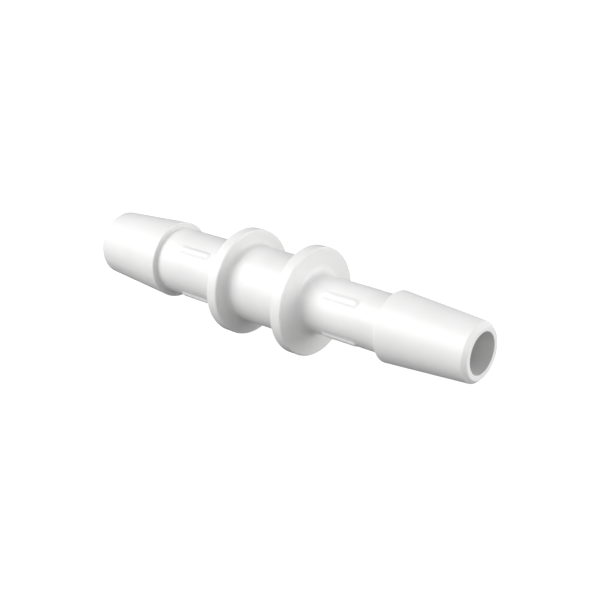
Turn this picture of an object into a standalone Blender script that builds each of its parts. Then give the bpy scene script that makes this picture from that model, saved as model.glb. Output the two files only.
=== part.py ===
"""A straight reducing hose coupling, moulded in one piece from white plastic.

The coupling lies along X. Its origin is on the bore's axis, midway between the two stop flanges.
+X points towards the end for the narrower hose. Each end is a cone that opens into a single barb,
then a neck with four gripping pads, then a flange that the hose stops against.
"""

import bmesh
import bpy
from math import atan2, cos, degrees, pi, radians, sin
from mathutils import Matrix, Vector

MM = 0.001

# Lengths along the axis, measured from the middle of the coupling.
HALF_LENGTH = 26.0 * MM
SHOULDER = 15.7 * MM
FLANGE_OUTER_FACE = 5.4 * MM
FLANGE_INNER_FACE = 3.95 * MM
PAD_START = 7.9 * MM
PAD_END = 12.85 * MM

# Radii that both ends share.
FLANGE_RADIUS = 6.05 * MM
MIDDLE_RADIUS = 4.3 * MM

# Radii of each end: the tip and barb are the two ends of the cone.
SMALL_END = {"tip": 3.16 * MM, "barb": 3.83 * MM, "neck": 3.15 * MM, "bore": 2.2 * MM}
LARGE_END = {"tip": 3.85 * MM, "barb": 4.52 * MM, "neck": 3.87 * MM, "bore": 2.95 * MM}

# Small shapes: the tip's chamfer, rounded edges and fillets.
TIP_CHAMFER = 0.45 * MM
BARB_EDGE_ROUND = 0.18 * MM
SHOULDER_FILLET = 0.2 * MM
FLANGE_EDGE_ROUND = 0.2 * MM
STOP_FILLET = 0.95 * MM
MIDDLE_FILLET = 0.7 * MM
BORE_STEP_LENGTH = 1.5 * MM

# Gripping pads on the necks.
PADS_AROUND = 4
PAD_FIRST_ANGLE = 45.0
PAD_WIDTH = 1.2 * MM
PAD_HEIGHT = 0.18 * MM
PAD_SINK = 0.35 * MM
PAD_SIDE_SLOPE = 0.5 * MM
PAD_END_SLOPE = 0.6 * MM

# Resolution of round shapes.
TURN_STEPS = 48
FILLET_STEPS = 4
EDGE_STEPS = 2
WELD_DISTANCE = 0.001 * MM

PLASTIC_COLOUR = (0.86, 0.86, 0.85, 1.0)
PLASTIC_ROUGHNESS = 0.38


def clear_scene():
    for item in list(bpy.data.objects):
        bpy.data.objects.remove(item, do_unlink=True)


def make_collection(name):
    collection = bpy.data.collections.new(name)
    bpy.context.scene.collection.children.link(collection)
    return collection


def make_plastic():
    """White moulded plastic with a satin surface."""
    material = bpy.data.materials.new("white_plastic")
    material.use_nodes = True
    shader = material.node_tree.nodes["Principled BSDF"]
    shader.inputs["Base Color"].default_value = PLASTIC_COLOUR
    shader.inputs["Roughness"].default_value = PLASTIC_ROUGHNESS
    shader.inputs["Metallic"].default_value = 0.0
    return material


def arc(centre, radius, start, end, steps):
    """Points (radius, height) on an arc, with both ends, from one angle to another in degrees."""
    points = []
    for step in range(steps + 1):
        angle = radians(start + (end - start) * step / steps)
        points.append((centre[0] + radius * cos(angle), centre[1] + radius * sin(angle)))
    return points


def flange_outline():
    """One flange from the middle tube's fillet, over its rim, to its outer face's edge."""
    fillet_centre = (MIDDLE_RADIUS + MIDDLE_FILLET, FLANGE_INNER_FACE - MIDDLE_FILLET)
    rim = FLANGE_RADIUS - FLANGE_EDGE_ROUND
    points = arc(fillet_centre, MIDDLE_FILLET, 180, 90, FILLET_STEPS)
    points += arc((rim, FLANGE_INNER_FACE + FLANGE_EDGE_ROUND), FLANGE_EDGE_ROUND, -90, 0, EDGE_STEPS)
    points += arc((rim, FLANGE_OUTER_FACE - FLANGE_EDGE_ROUND), FLANGE_EDGE_ROUND, 0, 90, EDGE_STEPS)
    return points


def end_outline(end):
    """One end from the flange's outer face to its mouth: fillet, neck, shoulder, cone and tip."""
    stop_centre = (end["neck"] + STOP_FILLET, FLANGE_OUTER_FACE + STOP_FILLET)
    shoulder_centre = (end["neck"] + SHOULDER_FILLET, SHOULDER - SHOULDER_FILLET)
    edge_centre = (end["barb"] - BARB_EDGE_ROUND, SHOULDER + BARB_EDGE_ROUND)
    cone_normal = degrees(atan2(end["barb"] - end["tip"], HALF_LENGTH - SHOULDER))
    points = arc(stop_centre, STOP_FILLET, 270, 180, FILLET_STEPS)
    points += arc(shoulder_centre, SHOULDER_FILLET, 180, 90, EDGE_STEPS)
    points += arc(edge_centre, BARB_EDGE_ROUND, -90, cone_normal, EDGE_STEPS)
    points.append((end["tip"], HALF_LENGTH - TIP_CHAMFER))
    points.append((end["tip"] - TIP_CHAMFER, HALF_LENGTH))
    return points


def coupling_outline():
    """The closed section: down the outside from the narrow mouth, and back up the stepped bore."""
    upper = flange_outline() + end_outline(SMALL_END)
    lower = flange_outline() + end_outline(LARGE_END)
    outside = upper[::-1] + [(radius, -height) for radius, height in lower]
    half_step = BORE_STEP_LENGTH / 2
    bore = [
        (LARGE_END["bore"], -HALF_LENGTH),
        (LARGE_END["bore"], -half_step),
        (SMALL_END["bore"], half_step),
        (SMALL_END["bore"], HALF_LENGTH),
    ]
    return outside + bore


def profile_mesh(name, outline):
    """A closed loop of edges in the XZ plane."""
    mesh = bpy.data.meshes.new(name)
    vertices = [(radius, 0.0, height) for radius, height in outline]
    edges = [(index, (index + 1) % len(outline)) for index in range(len(outline))]
    mesh.from_pydata(vertices, edges, [])
    return mesh


def turn(item, steps):
    """Spin the profile once round Z into a closed solid."""
    screw = item.modifiers.new("turned", "SCREW")
    screw.axis = "Z"
    screw.steps = steps
    screw.render_steps = steps
    screw.use_merge_vertices = True
    screw.merge_threshold = WELD_DISTANCE
    screw.use_smooth_shade = True


def add_pad(mesh, neck_radius, angle, side):
    """One low pad on a neck, with its sides and ends sloping down to the neck."""
    height = PAD_HEIGHT + PAD_SINK
    length = PAD_END - PAD_START
    # Each side meets the neck's round surface half a pad's width from the pad's middle.
    half_angle = PAD_WIDTH / 2 / neck_radius
    side_drop = PAD_HEIGHT + neck_radius * (1 - cos(half_angle))
    crest = (PAD_WIDTH / 2 - PAD_SIDE_SLOPE, length / 2 - PAD_END_SLOPE)
    side_run = neck_radius * sin(half_angle) - crest[0]
    # The slopes run on below the neck's surface, so the sunken foot is wider and longer.
    foot_half_width = crest[0] + side_run * height / side_drop
    foot_half_length = crest[1] + PAD_END_SLOPE * height / PAD_HEIGHT
    foot = (foot_half_width, foot_half_length)
    pad = bmesh.ops.create_cube(mesh, size=2.0)["verts"]
    for vertex in pad:
        half_width, half_length = crest if vertex.co.x > 0 else foot
        vertex.co.y *= half_width
        vertex.co.z *= half_length
        vertex.co.x *= height / 2
    bmesh.ops.translate(mesh, vec=(neck_radius - PAD_SINK + height / 2, 0, 0), verts=pad)
    middle = Vector((0, 0, side * (PAD_START + PAD_END) / 2))
    place = Matrix.Translation(middle) @ Matrix.Rotation(radians(angle), 4, "Z")
    bmesh.ops.transform(mesh, matrix=place, verts=pad)


def make_pads(collection, placement):
    """All the gripping pads as separate blocks in one guide, to be joined to the coupling."""
    mesh = bmesh.new()
    for side, end in ((1, SMALL_END), (-1, LARGE_END)):
        for index in range(PADS_AROUND):
            add_pad(mesh, end["neck"], PAD_FIRST_ANGLE + 360 * index / PADS_AROUND, side)
    data = bpy.data.meshes.new("pad_blanks")
    mesh.to_mesh(data)
    mesh.free()
    pads = bpy.data.objects.new("pad_blanks", data)
    pads.matrix_world = placement
    pads.hide_render = True
    pads.display_type = "WIRE"
    collection.objects.link(pads)
    return pads


def make_coupling(collection, placement, pads):
    """The whole coupling: the turned section with the pads joined on."""
    mesh = profile_mesh("coupling_body", coupling_outline())
    coupling = bpy.data.objects.new("coupling_body", mesh)
    coupling.matrix_world = placement
    coupling.data.materials.append(make_plastic())
    collection.objects.link(coupling)
    turn(coupling, TURN_STEPS)
    join = coupling.modifiers.new("pads", "BOOLEAN")
    join.operation = "UNION"
    join.solver = "EXACT"
    join.object = pads
    return coupling


def main():
    clear_scene()
    parts = make_collection("reducing_hose_coupling")
    guides = make_collection("guides")
    # Lay the turning axis along X. Half a step of turn leaves a flat facet lowest on each flange.
    lay_along_x = Matrix.Rotation(pi / 2, 4, "Y")
    half_facet = Matrix.Rotation(pi / TURN_STEPS, 4, "Z")
    pads = make_pads(guides, lay_along_x)
    make_coupling(parts, lay_along_x @ half_facet, pads)


main()
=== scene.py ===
"""Looks of the reducing hose coupling: one white plastic moulding on a pale studio floor.

The fine surface here stands for the CAD node coupling_body. It has the same turned section, divided
more finely, and the gripping pads blended smoothly into the necks.
"""

import math

import bmesh
import bpy
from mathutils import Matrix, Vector


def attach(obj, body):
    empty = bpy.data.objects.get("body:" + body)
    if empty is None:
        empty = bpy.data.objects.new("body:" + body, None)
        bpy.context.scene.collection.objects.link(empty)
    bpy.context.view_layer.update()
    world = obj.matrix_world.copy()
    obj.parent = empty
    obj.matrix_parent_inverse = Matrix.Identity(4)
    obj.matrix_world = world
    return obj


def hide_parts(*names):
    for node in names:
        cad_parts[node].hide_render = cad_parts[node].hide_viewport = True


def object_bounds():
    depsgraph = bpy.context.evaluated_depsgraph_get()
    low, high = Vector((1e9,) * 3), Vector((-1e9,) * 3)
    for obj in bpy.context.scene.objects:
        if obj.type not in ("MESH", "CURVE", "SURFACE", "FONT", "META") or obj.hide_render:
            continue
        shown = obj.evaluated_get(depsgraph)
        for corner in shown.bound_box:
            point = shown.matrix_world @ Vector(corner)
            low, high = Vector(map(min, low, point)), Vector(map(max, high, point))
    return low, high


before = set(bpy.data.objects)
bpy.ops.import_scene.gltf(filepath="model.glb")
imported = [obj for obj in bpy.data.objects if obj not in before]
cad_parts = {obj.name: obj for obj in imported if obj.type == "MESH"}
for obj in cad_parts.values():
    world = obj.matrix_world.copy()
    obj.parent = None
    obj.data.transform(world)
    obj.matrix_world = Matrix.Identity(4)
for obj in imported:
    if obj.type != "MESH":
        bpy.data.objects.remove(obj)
cad_low, cad_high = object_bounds()

MM = 0.001

# Sizes from the CAD model's bounds: the coupling lies along X with its middle at the origin.
HALF_LENGTH = cad_high.x
FLANGE_RADIUS = round(cad_high.z / MM, 2) * MM

# The CAD design's other lengths and radii.
SHOULDER = 15.7 * MM
FLANGE_OUTER_FACE = 5.4 * MM
FLANGE_INNER_FACE = 3.95 * MM
MIDDLE_RADIUS = 4.3 * MM
SMALL_END = {"tip": 3.16 * MM, "barb": 3.83 * MM, "neck": 3.15 * MM, "bore": 2.2 * MM}
LARGE_END = {"tip": 3.85 * MM, "barb": 4.52 * MM, "neck": 3.87 * MM, "bore": 2.95 * MM}
BORE_STEP_LENGTH = 1.5 * MM
STOP_FILLET = 0.95 * MM
MIDDLE_FILLET = 0.7 * MM
SHOULDER_FILLET = 0.2 * MM
FLANGE_EDGE_ROUND = 0.2 * MM
BARB_EDGE_ROUND = 0.18 * MM
TIP_CHAMFER = 0.45 * MM
CORNER_ROUND = 0.06 * MM

# Gripping pads on the necks.
PADS_AROUND = 4
PAD_FIRST_ANGLE = 45.0
PAD_START = 7.9 * MM
PAD_END = 12.85 * MM
PAD_WIDTH = 1.2 * MM
PAD_HEIGHT = 0.18 * MM
PAD_END_SLOPE = 0.6 * MM
PAD_SIDE_SLOPE = 0.5 * MM

# How finely the surface is divided. The tolerance tells a neck's radius from any other.
STEPS_AROUND = 120
PAD_SIDE_STEPS = 6
ARC_STEPS = 8
RUN_SPACING = 2.0 * MM
PAD_END_STEPS = 8
CORNER_STEPS = 4
RADIUS_TOLERANCE = 0.001 * MM

# The plastic. Crevices are tinted darker as painted shade, a look: the real plastic has one colour
# throughout.
PLASTIC_COLOUR = (0.8, 0.8, 0.796, 1.0)
PLASTIC_SHADE = (0.77, 0.77, 0.765, 1.0)
# Painted shade: the colour that fillets and the bore darken towards.
PAINTED_SHADE_COLOUR = (0.5, 0.5, 0.495, 1.0)
PAINTED_SHADE_REACH = 4.6 * MM
PAINTED_SHADE_SAMPLES = 8
OPEN_ENOUGH = 0.5
PLASTIC_ROUGHNESS = 0.4
PLASTIC_IOR = 1.5
SUBSURFACE_WEIGHT = 0.12
SUBSURFACE_RADIUS = (1.0, 0.95, 0.9)
SUBSURFACE_SCALE = 0.35 * MM

# Sizes of the plastic's patterns, in waves per metre, and the depths of its bumps.
CLOUD_SCALE = 260.0
SHEEN_SCALE = 900.0
GRAIN_SCALE = 9000.0
GRAIN_STRENGTH = 0.12
GRAIN_DEPTH = 0.01 * MM
WAVINESS_SCALE = 420.0
WAVINESS_STRENGTH = 0.3
WAVINESS_DEPTH = 0.02 * MM

# The studio. A softbox is name, azimuth, elevation, distance, diameter and power in watts.
STAGE_RADIUS = 1.5
FLOOR_COLOUR = (0.35, 0.35, 0.35, 1.0)
FLOOR_GLOW = 0.9
BACKDROP_GLOW = 1.0
WORLD_STRENGTH = 0.26
SOFTBOXES = (
    ("key", -32.0, 35.0, 0.4, 0.42, 1.9),
    ("front_fill", 40.0, 20.0, 0.4, 0.3, 0.24),
    ("side_fill", 92.0, 6.0, 0.4, 0.3, 0.5),
    ("rear_fill", 122.0, 12.0, 0.4, 0.3, 0.9),
    ("back_light", 180.0, 14.0, 0.4, 0.3, 0.3),
)

# The camera sees the small end nearest, from above.
CAMERA_AZIMUTH = 40.7
CAMERA_ELEVATION = 21.5
CAMERA_DISTANCE = 116.4 * MM
CAMERA_ASIDE = 2.27 * MM
CAMERA_BELOW = 1.08 * MM
CAMERA_LENS = 63.2


def arc(centre, radius, start, end, steps=ARC_STEPS):
    """Points (x, radius) on an arc of the section, angles in degrees from the +X direction."""
    points = []
    for step in range(steps + 1):
        angle = math.radians(start + (end - start) * step / steps)
        points.append((centre[0] + radius * math.cos(angle), centre[1] + radius * math.sin(angle)))
    return points


def run(start, end, spacing=RUN_SPACING):
    """Points along a straight stretch of the section, without its two ends."""
    length = math.dist(start, end)
    count = max(2, math.ceil(length / spacing))
    tight = min(CORNER_ROUND, length / 4) / length
    fractions = [tight] + [step / count for step in range(1, count)] + [1 - tight]
    return [tuple(a + (b - a) * part for a, b in zip(start, end)) for part in fractions]


def joined(pieces):
    """One outline from separate arcs and corners, with straight runs filled in between them."""
    outline = list(pieces[0])
    for piece in pieces[1:]:
        outline += run(outline[-1], piece[0]) + list(piece)
    return outline


def pad_slope(start, radius):
    """Points along a neck where an end of the pads slopes."""
    step = PAD_END_SLOPE / PAD_END_STEPS
    return [(start + step * index, radius) for index in range(PAD_END_STEPS + 1)]


def end_pieces(end):
    """Arcs and corners of one end, from the middle of the coupling out to its mouth."""
    neck, barb, tip = end["neck"], end["barb"], end["tip"]
    cone_normal = 90 - math.degrees(math.atan2(barb - tip, HALF_LENGTH - SHOULDER))
    chamfer_start = (HALF_LENGTH - TIP_CHAMFER, tip - CORNER_ROUND)
    chamfer_end = (HALF_LENGTH - CORNER_ROUND, tip - TIP_CHAMFER)
    mouth_edge = (HALF_LENGTH - CORNER_ROUND, end["bore"] + CORNER_ROUND)
    inner_face = FLANGE_INNER_FACE
    rim = FLANGE_RADIUS - FLANGE_EDGE_ROUND
    return [
        arc((inner_face - MIDDLE_FILLET, MIDDLE_RADIUS + MIDDLE_FILLET), MIDDLE_FILLET, -90, 0),
        arc((inner_face + FLANGE_EDGE_ROUND, rim), FLANGE_EDGE_ROUND, 180, 90),
        arc((FLANGE_OUTER_FACE - FLANGE_EDGE_ROUND, rim), FLANGE_EDGE_ROUND, 90, 0),
        arc((FLANGE_OUTER_FACE + STOP_FILLET, neck + STOP_FILLET), STOP_FILLET, 180, 270),
        pad_slope(PAD_START, neck),
        pad_slope(PAD_END - PAD_END_SLOPE, neck),
        arc((SHOULDER - SHOULDER_FILLET, neck + SHOULDER_FILLET), SHOULDER_FILLET, -90, 0),
        arc((SHOULDER + BARB_EDGE_ROUND, barb - BARB_EDGE_ROUND), BARB_EDGE_ROUND, 180, cone_normal),
        arc(chamfer_start, CORNER_ROUND, cone_normal, 45, CORNER_STEPS),
        arc(chamfer_end, CORNER_ROUND, 45, 0, CORNER_STEPS),
        arc(mouth_edge, CORNER_ROUND, 0, -90, CORNER_STEPS),
    ]


def mirrored(points):
    return [(-x, radius) for x, radius in reversed(points)]


def coupling_outline():
    """The whole section as a closed loop: along the outside to +X, and back through the bore."""
    small = end_pieces(SMALL_END)
    large = [mirrored(piece) for piece in reversed(end_pieces(LARGE_END))]
    half_step = BORE_STEP_LENGTH / 2
    step = [[(half_step, SMALL_END["bore"])], [(-half_step, LARGE_END["bore"])]]
    pieces = large + small + step
    outline = joined(pieces)
    return outline + run(outline[-1], outline[0])


def smooth_rise(value):
    """0 below 0, 1 above 1, and a smooth rise between."""
    value = min(max(value, 0.0), 1.0)
    return value * value * (3 - 2 * value)


def pad_lift(x, radius, angle):
    """How far the surface rises above a neck at a point, in metres."""
    end = SMALL_END if x > 0 else LARGE_END
    if abs(radius - end["neck"]) > RADIUS_TOLERANCE:
        return 0.0
    spacing = 360.0 / PADS_AROUND
    off_centre = (angle - PAD_FIRST_ANGLE + spacing / 2) % spacing - spacing / 2
    side = PAD_WIDTH / 2 - abs(math.radians(off_centre)) * radius
    along = min(abs(x) - PAD_START, PAD_END - abs(x))
    return PAD_HEIGHT * smooth_rise(side / PAD_SIDE_SLOPE) * smooth_rise(along / PAD_END_SLOPE)


def ring_angles():
    """Angles of the mesh's columns: even steps, with extra ones where a pad's side rises."""
    angles = {round(360.0 * step / STEPS_AROUND, 4) for step in range(STEPS_AROUND)}
    for index in range(PADS_AROUND):
        centre = PAD_FIRST_ANGLE + 360.0 * index / PADS_AROUND
        for end in (SMALL_END, LARGE_END):
            outer = math.degrees(PAD_WIDTH / 2 / end["neck"])
            inner = math.degrees((PAD_WIDTH / 2 - PAD_SIDE_SLOPE) / end["neck"])
            for step in range(PAD_SIDE_STEPS + 1):
                offset = inner + (outer - inner) * step / PAD_SIDE_STEPS
                angles.add(round((centre - offset) % 360, 4))
                angles.add(round((centre + offset) % 360, 4))
    return sorted(angles)


def ring(mesh, x, radius, angles):
    """One ring of vertices round the axis. Angle 0 is up, and 90 is towards -Y."""
    vertices = []
    for angle in angles:
        reach = radius + pad_lift(x, radius, angle)
        turn = math.radians(angle)
        vertices.append(mesh.verts.new((x, -reach * math.sin(turn), reach * math.cos(turn))))
    return vertices


def make_coupling(material):
    """The fine surface: the section turned about X, with the pads raised on the necks."""
    mesh = bmesh.new()
    angles = ring_angles()
    rings = [ring(mesh, x, radius, angles) for x, radius in coupling_outline()]
    for index, first in enumerate(rings):
        second = rings[(index + 1) % len(rings)]
        for column in range(len(angles)):
            nearby = (column + 1) % len(angles)
            mesh.faces.new((first[column], second[column], second[nearby], first[nearby]))
    bmesh.ops.recalc_face_normals(mesh, faces=mesh.faces)
    data = bpy.data.meshes.new("coupling_moulding")
    mesh.to_mesh(data)
    mesh.free()
    data.shade_smooth()
    data.materials.append(material)
    coupling = bpy.data.objects.new("coupling_moulding", data)
    bpy.context.collection.objects.link(coupling)
    return coupling


def new_material(name):
    material = bpy.data.materials.new(name)
    material.use_nodes = True
    nodes = material.node_tree.nodes
    return material, nodes, material.node_tree.links, nodes["Principled BSDF"]


def noise(nodes, links, place, scale, detail=3.0):
    """A noise texture in object space; scale is in waves per metre."""
    texture = nodes.new("ShaderNodeTexNoise")
    texture.inputs["Scale"].default_value = scale
    texture.inputs["Detail"].default_value = detail
    links.new(place.outputs["Object"], texture.inputs["Vector"])
    return texture


def spread(nodes, links, texture, low, high):
    """The noise's middle range stretched to low..high."""
    remap = nodes.new("ShaderNodeMapRange")
    remap.inputs["From Min"].default_value = 0.3
    remap.inputs["From Max"].default_value = 0.7
    remap.inputs["To Min"].default_value = low
    remap.inputs["To Max"].default_value = high
    links.new(texture.outputs["Fac"], remap.inputs["Value"])
    return remap


def bump(nodes, links, texture, strength, depth):
    """A bump that follows a noise texture."""
    relief = nodes.new("ShaderNodeBump")
    relief.inputs["Strength"].default_value = strength
    relief.inputs["Distance"].default_value = depth
    links.new(texture.outputs["Fac"], relief.inputs["Height"])
    return relief


def clouded_colour(nodes, links, place):
    """The plastic's colour, drifting faintly between two near whites."""
    cloud = noise(nodes, links, place, CLOUD_SCALE)
    tint = nodes.new("ShaderNodeMix")
    tint.data_type = "RGBA"
    tint.inputs["A"].default_value = PLASTIC_SHADE
    tint.inputs["B"].default_value = PLASTIC_COLOUR
    links.new(spread(nodes, links, cloud, 0.0, 1.0).outputs["Result"], tint.inputs["Factor"])
    return tint


def painted_crevice_shade(nodes, links, tint):
    """The colour with painted shade, going darker where nearby surfaces close it in: in fillets and down
    the bore.
    """
    openness = nodes.new("ShaderNodeAmbientOcclusion")
    openness.samples = PAINTED_SHADE_SAMPLES
    openness.inputs["Distance"].default_value = PAINTED_SHADE_REACH
    exposed = nodes.new("ShaderNodeMapRange")
    exposed.inputs["From Min"].default_value = 0.0
    exposed.inputs["From Max"].default_value = OPEN_ENOUGH
    links.new(openness.outputs["AO"], exposed.inputs["Value"])
    painted_shade = nodes.new("ShaderNodeMix")
    painted_shade.data_type = "RGBA"
    painted_shade.inputs["A"].default_value = PAINTED_SHADE_COLOUR
    links.new(exposed.outputs["Result"], painted_shade.inputs["Factor"])
    links.new(tint.outputs["Result"], painted_shade.inputs["B"])
    return painted_shade


def make_white_plastic():
    """White moulded plastic: faintly clouded, satin, a little light passing through its thin edges, and
    painted shade in its crevices.
    """
    material, nodes, links, shader = new_material("white_plastic")
    place = nodes.new("ShaderNodeTexCoord")
    # The base colour carries painted shade in the fillets and down the bore.
    colour = painted_crevice_shade(nodes, links, clouded_colour(nodes, links, place))
    links.new(colour.outputs["Result"], shader.inputs["Base Color"])

    sheen_patches = noise(nodes, links, place, SHEEN_SCALE)
    gloss = spread(nodes, links, sheen_patches, PLASTIC_ROUGHNESS - 0.04, PLASTIC_ROUGHNESS + 0.05)
    links.new(gloss.outputs["Result"], shader.inputs["Roughness"])

    grain = noise(nodes, links, place, GRAIN_SCALE, 2.0)
    fine = bump(nodes, links, grain, GRAIN_STRENGTH, GRAIN_DEPTH)
    waviness = noise(nodes, links, place, WAVINESS_SCALE, 1.0)
    broad = bump(nodes, links, waviness, WAVINESS_STRENGTH, WAVINESS_DEPTH)
    links.new(fine.outputs["Normal"], broad.inputs["Normal"])
    links.new(broad.outputs["Normal"], shader.inputs["Normal"])

    shader.inputs["IOR"].default_value = PLASTIC_IOR
    shader.inputs["Subsurface Weight"].default_value = SUBSURFACE_WEIGHT
    shader.inputs["Subsurface Radius"].default_value = SUBSURFACE_RADIUS
    shader.inputs["Subsurface Scale"].default_value = SUBSURFACE_SCALE
    return material


def glowing_paint(name, colour, glow):
    """Matt paint with a glow of its own, so that a pale stage keeps only faint shadows."""
    material, _, _, shader = new_material(name)
    shader.inputs["Base Color"].default_value = colour
    shader.inputs["Roughness"].default_value = 1.0
    shader.inputs["Specular IOR Level"].default_value = 0.0
    shader.inputs["Emission Color"].default_value = (1.0, 1.0, 1.0, 1.0)
    shader.inputs["Emission Strength"].default_value = glow
    return material


def add_stage(item, name, paint):
    """Name and paint a piece of the stage, and keep its light off the coupling."""
    item.name = name
    item.data.materials.append(paint)
    item.visible_diffuse = False
    item.visible_glossy = False


def make_stage():
    """A pale round floor that the flanges rest on, under a pale dome."""
    centre = (0, 0, cad_low.z)
    bpy.ops.mesh.primitive_circle_add(vertices=96, radius=STAGE_RADIUS, fill_type="NGON", location=centre)
    floor_paint = glowing_paint("pale_floor", FLOOR_COLOUR, FLOOR_GLOW)
    add_stage(bpy.context.active_object, "studio_floor", floor_paint)
    bpy.ops.mesh.primitive_uv_sphere_add(segments=64, ring_count=32, radius=STAGE_RADIUS, location=centre)
    dome = bpy.context.active_object
    dome.visible_shadow = False
    add_stage(dome, "studio_dome", glowing_paint("pale_dome", FLOOR_COLOUR, BACKDROP_GLOW))


def compass(azimuth, elevation):
    """Unit direction from the object: azimuth 0 is -Y and 90 is +X, elevation is above the floor."""
    turn, rise = math.radians(azimuth), math.radians(elevation)
    flat = math.cos(rise)
    return Vector((math.sin(turn) * flat, -math.cos(turn) * flat, math.sin(rise)))


def aim(item, target):
    item.rotation_mode = "QUATERNION"
    item.rotation_quaternion = (target - item.location).to_track_quat("-Z", "Y")


def add_softbox(name, azimuth, elevation, distance, size, power):
    """A round light aimed at the coupling, and unseen by the camera."""
    light = bpy.data.lights.new(name, "AREA")
    light.shape = "DISK"
    light.size = size
    light.energy = power
    softbox = bpy.data.objects.new(name, light)
    softbox.location = compass(azimuth, elevation) * distance
    softbox.visible_camera = False
    aim(softbox, Vector((0, 0, 0)))
    bpy.context.collection.objects.link(softbox)


def make_camera():
    data = bpy.data.cameras.new("camera")
    data.sensor_width = 36.0
    data.lens = CAMERA_LENS
    data.clip_start = 0.01
    camera = bpy.data.objects.new("camera", data)
    bpy.context.collection.objects.link(camera)
    back = compass(CAMERA_AZIMUTH, CAMERA_ELEVATION)
    turn = math.radians(CAMERA_AZIMUTH)
    right = Vector((math.cos(turn), math.sin(turn), 0))
    up = back.cross(right)
    target = right * CAMERA_ASIDE - up * CAMERA_BELOW
    camera.location = target + back * CAMERA_DISTANCE
    aim(camera, target)
    bpy.context.scene.camera = camera


def make_world():
    world = bpy.data.worlds.new("studio")
    world.use_nodes = True
    background = world.node_tree.nodes["Background"]
    background.inputs["Color"].default_value = (1.0, 1.0, 1.0, 1.0)
    background.inputs["Strength"].default_value = WORLD_STRENGTH
    bpy.context.scene.world = world


coupling = make_coupling(make_white_plastic())
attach(coupling, "root")
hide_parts("coupling_body")
make_stage()
make_world()
for softbox in SOFTBOXES:
    add_softbox(*softbox)
make_camera()
bpy.context.scene.view_settings.view_transform = "Standard"
